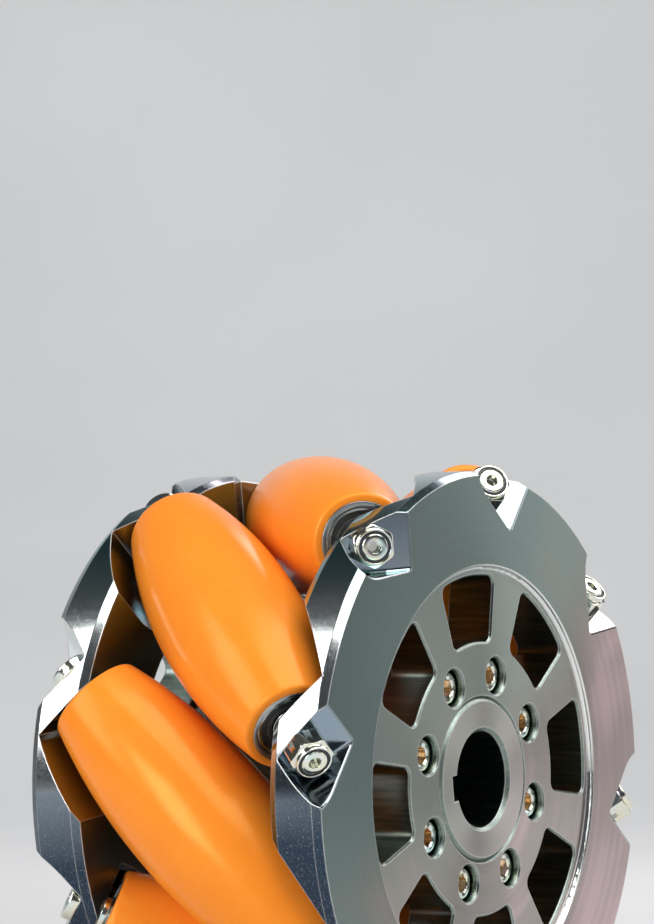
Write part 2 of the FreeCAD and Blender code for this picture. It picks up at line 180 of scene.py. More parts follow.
def turned_corners(across_flats, end, top_radius, segments=SEGMENTS):
    """Upper edge of hexagon sides whose corners are turned off on a lathe."""
    points = []
    for i in range(segments):
        angle = 2 * math.pi * i / segments
        radius = hexagon_radius(across_flats, angle)
        drop = (radius - top_radius) * math.tan(HEX_CORNER_SLOPE)
        points.append(Vector((radius * math.cos(angle), radius * math.sin(angle), end - drop)))
    return points


def rounded(corners, closed=True, steps=ROUNDING_STEPS):
    """Profile of (radius, z) points from (radius, z, rounding) corners."""
    profile = []
    count = len(corners)
    for i, (radius, z, rounding) in enumerate(corners):
        here = Vector((radius, z))
        if rounding == 0 or (not closed and i in (0, count - 1)):
            profile.append(here)
            continue
        before = Vector(corners[i - 1][:2]) - here
        after = Vector(corners[(i + 1) % count][:2]) - here
        half_angle = before.angle(after) / 2
        longest = LONGEST_ROUNDING * min(before.length, after.length)
        reach = min(rounding / math.tan(half_angle), longest)
        start = here + before.normalized() * reach
        finish = here + after.normalized() * reach
        for step in range(steps + 1):
            t = step / steps
            profile.append(start * (1 - t) ** 2 + here * 2 * t * (1 - t) + finish * t ** 2)
    return profile


def turned_rings(corners, closed=True, segments=SEGMENTS):
    return [circle(point.x, point.y, segments) for point in rounded(corners, closed)]


def flipped(rings):
    """The same rings at the other end of the roller."""
    turn = Matrix.Rotation(math.pi, 3, "X")
    return [[turn @ point for point in ring] for ring in rings]


class Skin:
    """Points and faces of one piece, gathered from lofted rings."""

    def __init__(self):
        self.points = []
        self.faces = []
        self.lining = []

    def loft(self, rings, place=Matrix(), closed=True, lined=0):
        """Join ring to ring; the first lined spans, and the cap below them, take the second material."""
        start = len(self.points)
        count = len(rings[0])
        for ring in rings:
            self.points.extend(place @ point for point in ring)
        spans = len(rings) if closed else len(rings) - 1
        for i in range(spans):
            here = start + i * count
            there = start + (i + 1) % len(rings) * count
            for j in range(count):
                k = (j + 1) % count
                if i < lined:
                    self.lining.append(len(self.faces))
                self.faces.append((here + j, here + k, there + k, there + j))
        if not closed:
            last = start + (len(rings) - 1) * count
            if lined:
                self.lining.append(len(self.faces))
            self.faces.append(tuple(range(start, start + count)))
            self.faces.append(tuple(range(last, last + count)))

    def piece(self, name, material, body, slot, nodes, place=Matrix(), lining=None):
        """Make the object, tie it to its body, and stand it in for these CAD nodes; the slot is not used."""
        mesh = bpy.data.meshes.new(name)
        mesh.from_pydata([point * MM for point in self.points], [], self.faces)
        work = bmesh.new()
        work.from_mesh(mesh)
        bmesh.ops.recalc_face_normals(work, faces=work.faces)
        work.to_mesh(mesh)
        work.free()
        mesh.shade_smooth()
        mesh.set_sharp_from_angle(angle=SHARP_ANGLE)
        mesh.materials.append(material)
        if lining:
            mesh.materials.append(lining)
            for index in self.lining:
                mesh.polygons[index].material_index = 1
        piece = bpy.data.objects.new(name, mesh)
        bpy.context.scene.collection.objects.link(piece)
        piece.matrix_world = Matrix.Translation(place.to_translation() * MM) @ place.to_3x3().to_4x4()
        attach(piece, body)
        for node in nodes:
            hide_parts(node)


def roller_place(index):
    """Local Z along the roller axis towards the front, local X radially outwards."""
    angle = math.radians(FIRST_ANGLE + PITCH_ANGLE * index)
    outward = Vector((math.cos(angle), 0, math.sin(angle)))
    round_wheel = Vector((-math.sin(angle), 0, math.cos(angle)))
    along = round_wheel * math.sin(SKEW) + Vector((0, -math.cos(SKEW), 0))
    turn = Matrix((outward, along.cross(outward), along)).transposed()
    return Matrix.Translation(outward * ROLLER_CIRCLE) @ turn.to_4x4()


def screw_place(index, side):
    """Local Z runs into the hub, local origin under the screw head; side is -1 in front, 1 behind."""
    angle = math.radians(FIRST_ANGLE + PITCH_ANGLE * (index + 0.5))
    into_hub = Vector((0, -side, 0))
    outward = Vector((math.cos(angle), 0, math.sin(angle)))
    turn = Matrix((outward, into_hub.cross(outward), into_hub)).transposed()
    seat = Vector((0, side * SCREW_SEAT, 0))
    return Matrix.Translation(outward * SCREW_CIRCLE + seat) @ turn.to_4x4()


def barrel_radius(station):
    """Largest radius at this station that stays inside the wheel cylinder."""
    best = WHEEL_RADIUS
    for step in range(-SWEEP_DEGREES, SWEEP_DEGREES + 1):
        angle = math.radians(step)
        sideways = math.sin(angle) * math.sin(SKEW)
        offset = station * math.sin(SKEW)
        a = math.cos(angle) ** 2 + sideways ** 2
        b = 2 * (ROLLER_CIRCLE * math.cos(angle) + offset * sideways)
        c = ROLLER_CIRCLE ** 2 + offset ** 2 - WHEEL_RADIUS ** 2
        best = min(best, (-b + math.sqrt(b * b - 4 * a * c)) / (2 * a))
    return best - SKIN_CLEARANCE


# ---- node helpers -----------------------------------------------------------

BEVEL_SAMPLES = 6
# strength of the painted edge highlight mask
EDGE_HIGHLIGHT_GAIN = 9.0


class Look:
    """A material being built round one Principled shader."""

    def __init__(self, name):
        self.material = bpy.data.materials.new(name)
        self.material.use_nodes = True
        self.tree = self.material.node_tree
        self.shader = self.tree.nodes["Principled BSDF"]
        self.place = self.add("ShaderNodeTexCoord").outputs["Object"]

    def add(self, kind, inputs=None, **settings):
        node = self.tree.nodes.new(kind)
        for key, value in settings.items():
            setattr(node, key, value)
        for key, value in (inputs or {}).items():
            self.put(node.inputs[key], value)
        return node

    def put(self, socket, value):
        if isinstance(value, bpy.types.NodeSocket):
            self.tree.links.new(value, socket)
        else:
            socket.default_value = value

    def set(self, **values):
        for key, value in values.items():
            self.put(self.shader.inputs[key.replace("_", " ")], value)

    def math(self, operation, first, second=0.0, clamp=False):
        values = {0: first, 1: second}
        return self.add("ShaderNodeMath", values, operation=operation, use_clamp=clamp).outputs[0]

    def times(self, first, second):
        return self.math("MULTIPLY", first, second)

    def plus(self, first, second, clamp=False):
        return self.math("ADD", first, second, clamp)

    def noise(self, scale, vector=None, detail=3.0, roughness=0.5, distortion=0.0):
        values = {"Scale": scale, "Detail": detail, "Roughness": roughness, "Distortion": distortion}
        values["Vector"] = vector or self.place
        return self.add("ShaderNodeTexNoise", values).outputs["Fac"]

    def ramp(self, factor, stops):
        node = self.add("ShaderNodeValToRGB", {"Fac": factor})
        elements = node.color_ramp.elements
        while len(elements) < len(stops):
            elements.new(0.5)
        for element, (position, colour) in zip(elements, stops):
            element.position = position
            element.color = (*colour, 1)
        return node.outputs["Color"]

    def span(self, factor, low, high):
        """A factor of 0 to 1 stretched over low to high."""
        values = {"Value": factor, "To Min": low, "To Max": high}
        return self.add("ShaderNodeMapRange", values).outputs["Result"]

    def mix(self, factor, first, second):
        node = self.add("ShaderNodeMix", data_type="RGBA")
        self.put(node.inputs["Factor"], factor)
        self.put(node.inputs[6], first if isinstance(first, bpy.types.NodeSocket) else (*first, 1))
        self.put(node.inputs[7], second if isinstance(second, bpy.types.NodeSocket) else (*second, 1))
        return node.outputs[2]

    def bump(self, height, strength, distance, normal=None):
        values = {"Height": height, "Strength": strength, "Distance": distance}
        if normal is not None:
            values["Normal"] = normal
        return self.add("ShaderNodeBump", values).outputs["Normal"]

    def split(self, vector=None):
        return self.add("ShaderNodeSeparateXYZ", {"Vector": vector or self.place}).outputs

    def join(self, x=0.0, y=0.0, z=0.0):
        return self.add("ShaderNodeCombineXYZ", {"X": x, "Y": y, "Z": z}).outputs["Vector"]


def distance_from_axis(look, first, second):
    squares = look.plus(look.times(first, first), look.times(second, second))
    return look.math("SQRT", squares)


def painted_edge_highlight(look, radius):
    """Painted edge highlight: 1 where the surface turns sharply within this radius, 0 on open faces; and the
    eased normal.
    """
    eased = look.add("ShaderNodeBevel", {"Radius": radius}, samples=BEVEL_SAMPLES).outputs["Normal"]
    flat = look.add("ShaderNodeNewGeometry").outputs["Normal"]
    agreement = look.add("ShaderNodeVectorMath", {0: eased, 1: flat}, operation="DOT_PRODUCT")
    turned = look.math("SUBTRACT", 1.0, agreement.outputs["Value"])
    return look.math("MULTIPLY", turned, EDGE_HIGHLIGHT_GAIN, clamp=True), eased


# ---- materials --------------------------------------------------------------
# Colours are linear RGB.  Noise scales are features per metre.

WEB_LIMIT = 0.0652            # radii in metres that part the areas of a plate
RECESS_LIMIT = 0.0672
RIM_LIMIT = 0.07
RIM_FACING = 0.6              # share of Y in the normal, below which a surface counts as rim
FINE_DEPTH = 0.00003          # height of tool marks and grain, in metres
RING_DEPTH = 0.00006
NYLON_DEPTH = 0.00002
PLATE_EASE = 0.0006           # radius over which edges are eased and get the painted highlight
HARDWARE_EASE = 0.00025

# near-white colours and lower metallic paint a highlight along sharp edges
EDGE_HIGHLIGHT_STEEL = (0.9, 0.92, 0.88)
EDGE_HIGHLIGHT_ZINC = (0.9, 0.91, 0.9)
EDGE_HIGHLIGHT_METALLIC = 0.45
TOOL_MARK = (0.1, 0.11, 0.11)
WEB_STEEL = (0.52, 0.53, 0.47)
# near-white recess wall: a painted highlight
RECESS_WALL_PAINTED_HIGHLIGHT = (0.86, 0.88, 0.86)
SPECK = (0.75, 0.85, 0.9)
BLACK = (0.0, 0.0, 0.0)
WHITE = (1.0, 1.0, 1.0)

# plating hues that also paint light: paler and warmer towards the lower right of the wheel
PLATE_TINTS_AND_PAINTED_LIGHT = [
    (0.0, (0.2, 0.28, 0.27)),
    (0.22, (0.25, 0.27, 0.25)),
    (0.42, (0.33, 0.3, 0.28)),
    (0.58, (0.44, 0.37, 0.37)),
    (0.74, (0.72, 0.54, 0.58)),
    (0.88, (0.92, 0.7, 0.64)),
    (1.0, (0.98, 0.8, 0.54)),
]
# painted reflections on the rim: dark shade low down, a painted highlight band a little above the axis
RIM_TINTS_AND_PAINTED_REFLECTIONS = [
    (0.0, (0.035, 0.045, 0.075)),
    (0.4, (0.04, 0.06, 0.09)),
    (0.5, (0.2, 0.24, 0.28)),
    (0.56, (0.8, 0.83, 0.84)),
    (0.72, (0.78, 0.83, 0.82)),
    (0.82, (0.2, 0.42, 0.42)),
    (1.0, (0.62, 0.62, 0.7)),
]
MILLED_TINTS = [(0.35, (0.3, 0.38, 0.46)), (0.6, (0.46, 0.47, 0.46))]
WINDOW_TINTS = [(0.3, (0.16, 0.22, 0.2)), (0.5, (0.22, 0.27, 0.25)), (0.7, (0.3, 0.36, 0.3))]
# hub hues that also paint light: paler towards the lower right
HUB_TINTS_AND_PAINTED_LIGHT = [(0.2, (0.42, 0.43, 0.41)), (0.5, (0.52, 0.47, 0.46)), (0.8, (0.62, 0.54, 0.57))]
ZINC_TINTS = [
    (0.3, (0.7, 0.86, 0.86)),
    (0.45, (0.86, 0.88, 0.8)),
    (0.58, (0.88, 0.88, 0.68)),
    (0.7, (0.84, 0.76, 0.88)),
]
SOCKET_TINTS = [(0.3, (0.62, 0.44, 0.26)), (0.5, (0.72, 0.62, 0.46)), (0.7, (0.6, 0.56, 0.62))]

ORANGE_TINTS = [(0.25, (0.86, 0.24, 0.02)), (0.75, (0.92, 0.285, 0.028))]
ORANGE_LIGHT = (0.96, 0.32, 0.034)
ORANGE_RING = (0.7, 0.13, 0.01)
ORANGE_WISP = (1.0, 0.5, 0.16)
ORANGE_GLOSS = (1.0, 0.68, 0.24, 1.0)
ORANGE_DEPTH = (1.0, 0.35, 0.1)
RUBBER_TINTS = [(0.3, (0.012, 0.012, 0.013)), (0.75, (0.035, 0.034, 0.033))]
NYLON_TINTS = [(0.2, (0.02, 0.022, 0.03)), (0.8, (0.05, 0.055, 0.07))]
CORE_STEEL = (0.62, 0.64, 0.66)
BEARING_STEEL = (0.74, 0.74, 0.72)


def plate_face_with_painted_light(look, marks, drift, tints):
    """Turned face: plating that changes colour across the wheel and gets paler towards +X and low Z as
    painted light, darkened along the tool marks.
    """
    x, y, z = look.split()
    bands = look.noise(160.0, look.join(distance_from_axis(look, x, z), y), detail=2.0)
    # painted light: the colour ramp climbs towards +X and low Z
    painted_light_slope = look.math("SUBTRACT", look.times(x, 4.0), look.times(z, 5.0))
    place = look.plus(painted_light_slope, look.span(drift, -0.55, 1.05))
    place = look.plus(place, look.span(bands, -0.22, 0.22), clamp=True)
    return look.mix(look.span(marks, 0.0, 0.3), look.ramp(place, tints), TOOL_MARK)


def plate_rim_with_painted_reflections(look, drift):
    """Outer rim, coloured by height as painted reflections: near black low down, a pale band a little above
    the axis, teal and lilac grey higher up; with fine bright specks.
    """
    z = look.split()[2]
    height = look.plus(look.times(z, 5.0), look.span(drift, 0.35, 0.65), clamp=True)
    specks = look.ramp(look.noise(2600.0, detail=1.0), [(0.64, BLACK), (0.74, WHITE)])
    return look.mix(look.times(specks, 0.35), look.ramp(height, RIM_TINTS_AND_PAINTED_REFLECTIONS), SPECK)


def window_walls(look):
    """Milled walls with streaks running through the plate."""
    x, y, z = look.split()
    stretched = look.join(look.times(x, 900.0), look.times(y, 60.0), look.times(z, 900.0))
    return look.ramp(look.noise(1.0, stretched), WINDOW_TINTS)


def machined_plate(name, tints, roughness, spread):
    """Turned steel with a thin iridescent plating, tool marks running round the wheel axis."""
    look = Look(name)
    x, y, z = look.split()
    radius = distance_from_axis(look, x, z)
    marks = look.noise(1500.0, look.join(radius, look.times(y, 0.4)), detail=4.0, roughness=0.65)
    drift = look.noise(11.0, detail=2.0, distortion=0.6)
    grain = look.noise(900.0, detail=2.0)
    normal = look.add("ShaderNodeTexCoord").outputs["Normal"]
    facing = look.math("ABSOLUTE", look.split(normal)[1])
    flat = look.math("POWER", facing, 8.0, clamp=True)
    on_web = look.math("LESS_THAN", radius, WEB_LIMIT)
    on_recess = look.math("LESS_THAN", radius, RECESS_LIMIT)
    off_face = look.math("LESS_THAN", facing, RIM_FACING)
    on_rim = look.times(off_face, look.math("GREATER_THAN", radius, RIM_LIMIT))

    # painted highlight: the recess wall ring is coloured near white
    milled = look.mix(on_recess, look.ramp(drift, MILLED_TINTS), RECESS_WALL_PAINTED_HIGHLIGHT)
    sides = look.mix(on_rim, milled, plate_rim_with_painted_reflections(look, drift))
    sides = look.mix(on_web, sides, window_walls(look))
    face = look.mix(look.times(on_web, 0.3), plate_face_with_painted_light(look, marks, drift, tints), WEB_STEEL)
    body = look.mix(flat, sides, face)
    # painted highlight: sharp edges turn near white and less metallic
    highlight_mask, eased = painted_edge_highlight(look, PLATE_EASE)
    colour = look.mix(look.times(highlight_mask, 0.9), body, EDGE_HIGHLIGHT_STEEL)

    satin = look.plus(look.span(marks, roughness, roughness + spread), look.span(grain, -0.04, 0.04))
    polished = look.plus(look.span(grain, 0.06, 0.16), look.times(on_web, 0.2))
    not_flat = look.math("SUBTRACT", 1.0, flat)
    rough = look.plus(look.times(flat, satin), look.times(not_flat, polished))
    tangent = look.add("ShaderNodeTangent", direction_type="RADIAL", axis="Y").outputs["Tangent"]
    shine = look.span(highlight_mask, 1.0, EDGE_HIGHLIGHT_METALLIC)
    look.set(Base_Color=colour, Metallic=shine, Roughness=rough)
    look.set(Normal=look.bump(marks, 0.06, FINE_DEPTH, eased), Anisotropic=0.8, Tangent=tangent)
    return look.material


def bright_metal(name, tints, roughness, tint_scale):
    """Bright plated or polished steel with soft colour shifts and faint handling marks."""
    look = Look(name)
    drift = look.noise(tint_scale, detail=3.0, distortion=0.8)
    grain = look.noise(2200.0, detail=3.0)
    smears = look.noise(420.0, detail=2.0, distortion=1.2)
    satin = look.span(smears, 0.6 * roughness, 1.4 * roughness)
    # painted highlight: sharp edges turn near white
    highlight_mask, eased = painted_edge_highlight(look, HARDWARE_EASE)
    colour = look.mix(look.times(highlight_mask, 0.6), look.ramp(drift, tints), EDGE_HIGHLIGHT_ZINC)
    look.set(Base_Color=colour, Metallic=1.0, Roughness=look.plus(satin, look.span(grain, -0.02, 0.03)))
    look.set(Normal=look.bump(grain, 0.08, FINE_DEPTH, eased))
    return look.material


def polyurethane(name):
    """Cast orange polyurethane, skimmed on a lathe: fine rings round the roller and a satin skin."""
    look = Look(name)
    x, y, z = look.split()
    along = look.join(0.0, 0.0, z)
    rings = look.noise(900.0, along, detail=4.0, roughness=0.7)
    bands = look.noise(70.0, along, detail=2.0)
    clouds = look.noise(38.0, detail=3.0, distortion=0.5)
    grain = look.noise(1800.0, detail=2.0)
    stretched = look.join(look.times(x, 60.0), look.times(y, 60.0), look.times(z, 700.0))
    wisps = look.ramp(look.noise(1.0, stretched, detail=3.0), [(0.58, BLACK), (0.8, WHITE)])
    banded = look.mix(look.span(bands, 0.0, 0.3), look.ramp(clouds, ORANGE_TINTS), ORANGE_LIGHT)
    ringed = look.mix(look.span(rings, 0.0, 0.2), banded, ORANGE_RING)
    colour = look.mix(look.times(wisps, 0.12), ringed, ORANGE_WISP)
    rough = look.plus(look.span(rings, 0.14, 0.3), look.span(grain, -0.03, 0.03))
    height = look.plus(rings, look.times(grain, 0.25))
    look.set(Base_Color=colour, Roughness=rough, Normal=look.bump(height, 0.45, RING_DEPTH))
    look.set(Subsurface_Weight=0.12, Subsurface_Scale=0.003, Subsurface_Radius=ORANGE_DEPTH)
    look.set(Specular_IOR_Level=0.5, IOR=1.5, Specular_Tint=ORANGE_GLOSS)
    return look.material


def turned_steel(name, colour, roughness):
    """Steel turned round its own Z axis."""
    look = Look(name)
    x, y, z = look.split()
    radius = distance_from_axis(look, x, y)
    marks = look.noise(2600.0, look.join(radius, z), detail=3.0, roughness=0.6)
    smears = look.noise(300.0, detail=2.0)
    shadow = tuple(0.35 * part for part in colour)
    shade = look.mix(look.span(marks, 0.0, 0.45), colour, shadow)
    satin = look.span(marks, 0.7 * roughness, 1.3 * roughness)
    look.set(Base_Color=shade, Metallic=1.0, Roughness=look.plus(satin, look.span(smears, -0.04, 0.06)))
    look.set(Normal=look.bump(marks, 0.15, FINE_DEPTH))
    return look.material


def seal_rubber(name):
    """Black moulded rubber with a faint bloom of grease."""
    look = Look(name)
    grain = look.noise(2500.0, detail=3.0)
    bloom = look.noise(260.0, detail=3.0, distortion=0.7)
    look.set(Base_Color=look.ramp(bloom, RUBBER_TINTS), Roughness=look.span(bloom, 0.35, 0.6))
    look.set(Normal=look.bump(grain, 0.2, FINE_DEPTH), Specular_IOR_Level=0.5)
    return look.material


def nylon(name):
    """Dark nylon with a fine moulded grain."""
    look = Look(name)
    grain = look.noise(1800.0, detail=2.0)
    look.set(Base_Color=look.ramp(grain, NYLON_TINTS), Roughness=look.span(grain, 0.35, 0.5))
    look.set(Normal=look.bump(grain, 0.1, NYLON_DEPTH))
    return look.material


MATERIALS = {
    "plate": machined_plate("plate_metal", PLATE_TINTS_AND_PAINTED_LIGHT, 0.24, 0.14),
    "hub": machined_plate("hub_metal", HUB_TINTS_AND_PAINTED_LIGHT, 0.26, 0.12),
    "zinc": bright_metal("nut_zinc", ZINC_TINTS, 0.12, 160.0),
    "bolt": bright_metal("bolt_zinc", ZINC_TINTS, 0.14, 160.0),
    "screw": bright_metal("screw_zinc", ZINC_TINTS, 0.13, 120.0),
    "socket": bright_metal("screw_socket", SOCKET_TINTS, 0.2, 120.0),
    "core": turned_steel("roller_core_metal", CORE_STEEL, 0.28),
    "bearing": turned_steel("bearing_steel", BEARING_STEEL, 0.16),
    "spacer": bright_metal("spacer_steel", ZINC_TINTS, 0.14, 160.0),
    "sleeve": bright_metal("sleeve_steel", ZINC_TINTS, 0.25, 160.0),
    "seal": seal_rubber("seal_rubber"),
    "nylon": nylon("nut_nylon"),
    "tyre": polyurethane("roller_polyurethane"),
}


# ---- rollers ----------------------------------------------------------------

def tyre_rings():
    end_radius = barrel_radius(TYRE_HALF)
    bore = CORE_RADIUS + FIT_CLEARANCE
    reach = TYRE_HALF - TYRE_LIP
    rings = []
    for step in range(TYRE_STATIONS + 1):
        station = -reach + 2 * reach * step / TYRE_STATIONS
        rings.append((barrel_radius(station), station, 0))
    edge = [
        (end_radius, TYRE_HALF, TYRE_LIP),
        (bore, TYRE_HALF, TYRE_BORE_ROUNDING),
        (bore, -TYRE_HALF, TYRE_BORE_ROUNDING),
        (end_radius, -TYRE_HALF, TYRE_LIP),
    ]
    return turned_rings(rings + edge, segments=TYRE_SEGMENTS)


def core_rings():
    shoulder = BEARING_FACE - BEARING_WIDTH
    upper = [
        (CORE_BORE, shoulder, 0),
        (BEARING_RADIUS, shoulder, 0),
        (BEARING_RADIUS, TYRE_HALF, CORE_MOUTH_ROUNDING),
        (CORE_RADIUS, TYRE_HALF, CORE_RIM_ROUNDING),
    ]
    lower = [(radius, -z, rounding) for radius, z, rounding in reversed(upper)]
    return turned_rings(upper + lower)


def outer_ring_rings():
    inner = BEARING_FACE - BEARING_WIDTH
    return turned_rings([
        (OUTER_RING_BORE, inner, RING_LIP),
        (BEARING_RADIUS, inner, RING_ROUNDING),
        (BEARING_RADIUS, BEARING_FACE, RING_ROUNDING),
        (OUTER_RING_BORE + RING_LIP, BEARING_FACE, RING_LIP),
        (OUTER_RING_BORE, BEARING_FACE - RING_LIP_DEPTH, SEAL_ROUNDING),
    ])


def seal_rings(top):
    """Pressed seal with a raised bead near its lip."""
    low = top - SEAL_THICKNESS
    rim_top = top - SEAL_RIM_DROP
    rim_edge = OUTER_RING_BORE - SEAL_RIM_WIDTH
    pan = top - SEAL_PAN_DROP
    bead_foot = SEAL_BORE + SEAL_BEAD_OUTER + SEAL_PAN_DROP
    return turned_rings([
        (SEAL_BORE, low, SEAL_ROUNDING),
        (OUTER_RING_BORE, low, 0),
        (OUTER_RING_BORE, rim_top, SEAL_ROUNDING),
        (rim_edge, rim_top, SEAL_ROUNDING),
        (rim_edge - SEAL_STEP, pan, SEAL_ROUNDING),
        (bead_foot, pan, SEAL_ROUNDING),
        (SEAL_BORE + SEAL_BEAD_OUTER, top, SEAL_BEAD_ROUNDING),
        (SEAL_BORE + SEAL_BEAD_INNER, top, SEAL_BEAD_ROUNDING),
        (SEAL_BORE, top - SEAL_LIP_DROP, SEAL_LIP_ROUNDING),
    ])


def inner_ring_rings():
    inner = BEARING_FACE - BEARING_WIDTH
    return turned_rings([
        (BOLT_RADIUS, inner, INNER_BORE_ROUNDING),
        (INNER_RING_RADIUS, inner, INNER_RING_ROUNDING),
        (INNER_RING_RADIUS, BEARING_FACE, INNER_RING_ROUNDING),
        (BOLT_RADIUS, BEARING_FACE, INNER_BORE_ROUNDING),
    ])


def end_spacer_rings():
    return turned_rings([
        (SPACER_BORE, BEARING_FACE, SPACER_BORE_ROUNDING),
        (END_SPACER_RADIUS, BEARING_FACE, SPACER_ROUNDING),
        (END_SPACER_RADIUS, SEAT, SPACER_ROUNDING),
        (SPACER_BORE, SEAT, SPACER_BORE_ROUNDING),
    ])


def sleeve_rings():
    end = BEARING_FACE - BEARING_WIDTH
    return turned_rings([
        (SPACER_BORE, -end, SPACER_BORE_ROUNDING),
        (SLEEVE_RADIUS, -end, SLEEVE_ROUNDING),
        (SLEEVE_RADIUS, end, SLEEVE_ROUNDING),
        (SPACER_BORE, end, SPACER_BORE_ROUNDING),
    ])


def build_roller(index, tyre_shape, core_shape, ring_shape, seal_shapes):
    label = "_" + str(index + 1)
    body = "roller" + label
    place = roller_place(index)
    tyre = Skin()
    tyre.loft(tyre_shape)
    tyre.piece("tyre" + label, MATERIALS["tyre"], body, "roller_polyurethane", ["roller_tyre" + label], place)
    core = Skin()
    core.loft(core_shape)
    core.piece("core" + label, MATERIALS["core"], body, "roller_core_metal", ["roller_core" + label], place)
    races = Skin()
    races.loft(ring_shape)
    races.loft(flipped(ring_shape))
    ring_nodes = ["bearing_outer_rings" + label]
    races.piece("races" + label, MATERIALS["bearing"], body, "bearing_steel", ring_nodes, place)
    seals = Skin()
    for shape in seal_shapes:
        seals.loft(shape)
        seals.loft(flipped(shape))
    seals.piece("seals" + label, MATERIALS["seal"], body, "seal_rubber", ["bearing_seals" + label], place)


def build_rollers():
    outer_seal = seal_rings(BEARING_FACE - SEAL_INSET)
    inner_seal = seal_rings(BEARING_FACE - BEARING_WIDTH + SEAL_INSET + SEAL_THICKNESS)
    tyre_shape = tyre_rings()
    core_shape = core_rings()
    ring_shape = outer_ring_rings()
    for index in range(ROLLERS):
        build_roller(index, tyre_shape, core_shape, ring_shape, (outer_seal, inner_seal))


# ---- axles, nuts and screws --------------------------------------------------

def bolt_rings():
    head_end = FLOOR + BOLT_HEAD_HEIGHT
    socket_floor = -head_end + BOLT_SOCKET_DEPTH
    head = [
        hexagon(BOLT_SOCKET - BOLT_SOCKET_INSET, socket_floor),
        hexagon(BOLT_SOCKET, socket_floor + SOCKET_FLOOR_STEP),
        hexagon(BOLT_SOCKET, -head_end + BOLT_SOCKET_MOUTH),
    ]
    rest = rounded([
        (BOLT_SOCKET / math.sqrt(3) + SOCKET_LIP, -head_end, 0),
        (BOLT_HEAD_RADIUS, -head_end, BOLT_HEAD_ROUNDING),
        (BOLT_HEAD_RADIUS, -FLOOR, BOLT_SEAT_ROUNDING),
        (BOLT_RADIUS, -FLOOR, 0),
        (BOLT_RADIUS, BOLT_END, BOLT_END_ROUNDING),
        (BOLT_END_HOLE, BOLT_END, BOLT_HOLE_ROUNDING),
        (BOLT_END_HOLE, BOLT_END - BOLT_END_HOLE_DEPTH, 0),
    ], closed=False)
    return head + [circle(point.x, point.y) for point in rest]


def nut_rings():
    top = FLOOR + NUT_HEX_HEIGHT
    end = FLOOR + NUT_HEIGHT
    chamfer_top = NUT_FLATS / 2 - NUT_TOP_INSET
    bore = BOLT_RADIUS + FIT_CLEARANCE
    rings = [
        circle(bore, FLOOR),
        circle(NUT_FLATS / 2 - NUT_BOTTOM_INSET, FLOOR),
        hexagon(NUT_FLATS, FLOOR + NUT_BOTTOM_CHAMFER),
        turned_corners(NUT_FLATS, top, chamfer_top),
        circle(chamfer_top, top),
    ]
    collar = rounded([
        (chamfer_top, top, 0),
        (NUT_COLLAR, top + NUT_COLLAR_STEP, NUT_COLLAR_FOOT_ROUNDING),
        (NUT_COLLAR, end, NUT_COLLAR_ROUNDING),
        (NUT_MOUTH, end - NUT_MOUTH_DROP, NUT_MOUTH_ROUNDING),
        (NUT_MOUTH, end - NUT_MOUTH_DEPTH, 0),
        (bore, end - NUT_MOUTH_DEPTH, 0),
    ], closed=False)
    return rings + [circle(point.x, point.y) for point in collar[1:]]


def insert_rings():
    """Nylon locking ring held in the collar of the nut."""
    end = FLOOR + NUT_HEIGHT
    inner = BOLT_RADIUS + INSERT_CLEARANCE
    outer = NUT_MOUTH - INSERT_CLEARANCE
    return turned_rings([
        (inner, end - INSERT_FLOOR, 0),
        (outer, end - INSERT_FLOOR, 0),
        (outer, end - INSERT_OUTER_TOP, INSERT_ROUNDING),
        (inner, end - INSERT_INNER_TOP, INSERT_ROUNDING),
    ])


def screw_rings():
    top = -SCREW_HEAD_HEIGHT
    socket_floor = top + SCREW_SOCKET_DEPTH
    head = [
        hexagon(SCREW_SOCKET - SCREW_SOCKET_INSET, socket_floor),
        hexagon(SCREW_SOCKET, socket_floor - SOCKET_FLOOR_STEP),
        hexagon(SCREW_SOCKET, top + SCREW_SOCKET_MOUTH),
    ]
    rest = rounded([
        (SCREW_SOCKET / math.sqrt(3) + SOCKET_LIP, top, 0),
        (SCREW_HEAD_RADIUS, top, SCREW_HEAD_ROUNDING),
        (SCREW_HEAD_RADIUS, 0, SCREW_SEAT_ROUNDING),
        (SCREW_RADIUS, 0, 0),
        (SCREW_RADIUS, SCREW_LENGTH, SCREW_TIP_ROUNDING),
        (SCREW_TIP_RADIUS, SCREW_LENGTH, 0),
    ], closed=False)
    return head + [circle(point.x, point.y) for point in rest]


def build_fasteners():
    places = [roller_place(index) for index in range(ROLLERS)]
    one_ended = [
        ("axle_bolts", bolt_rings(), False, "bolt", "bolt_zinc"),
        ("axle_sleeves", sleeve_rings(), True, "sleeve", "sleeve_steel"),
        ("lock_nuts", nut_rings(), True, "zinc", "nut_zinc"),
    ]
    for node, rings, closed, material, slot in one_ended:
        skin = Skin()
        for place in places:
            skin.loft(rings, place, closed)
        skin.piece(node + "_fine", MATERIALS[material], "wheel_frame", slot, [node])
    inserts = Skin()
    for place in places:
        inserts.loft(insert_rings(), place)
    inserts.piece("nut_inserts", MATERIALS["nylon"], "wheel_frame", "nut_zinc", [])
    both_ends = [
        ("end_spacers", end_spacer_rings(), "spacer", "spacer_steel"),
        ("bearing_inner_rings", inner_ring_rings(), "bearing", "bearing_steel"),
    ]
    for node, rings, material, slot in both_ends:
        skin = Skin()
        for place in places:
            skin.loft(rings, place)
            skin.loft(flipped(rings), place)
        skin.piece(node + "_fine", MATERIALS[material], "wheel_frame", slot, [node])
    for node, side in (("hub_screws_front", -1), ("hub_screws_rear", 1)):
        skin = Skin()
        for index in range(ROLLERS):
            skin.loft(screw_rings(), screw_place(index, side), closed=False, lined=2)
        screw = MATERIALS["screw"]
        skin.piece(node + "_fine", screw, "wheel_frame", "screw_zinc", [node], lining=MATERIALS["socket"])


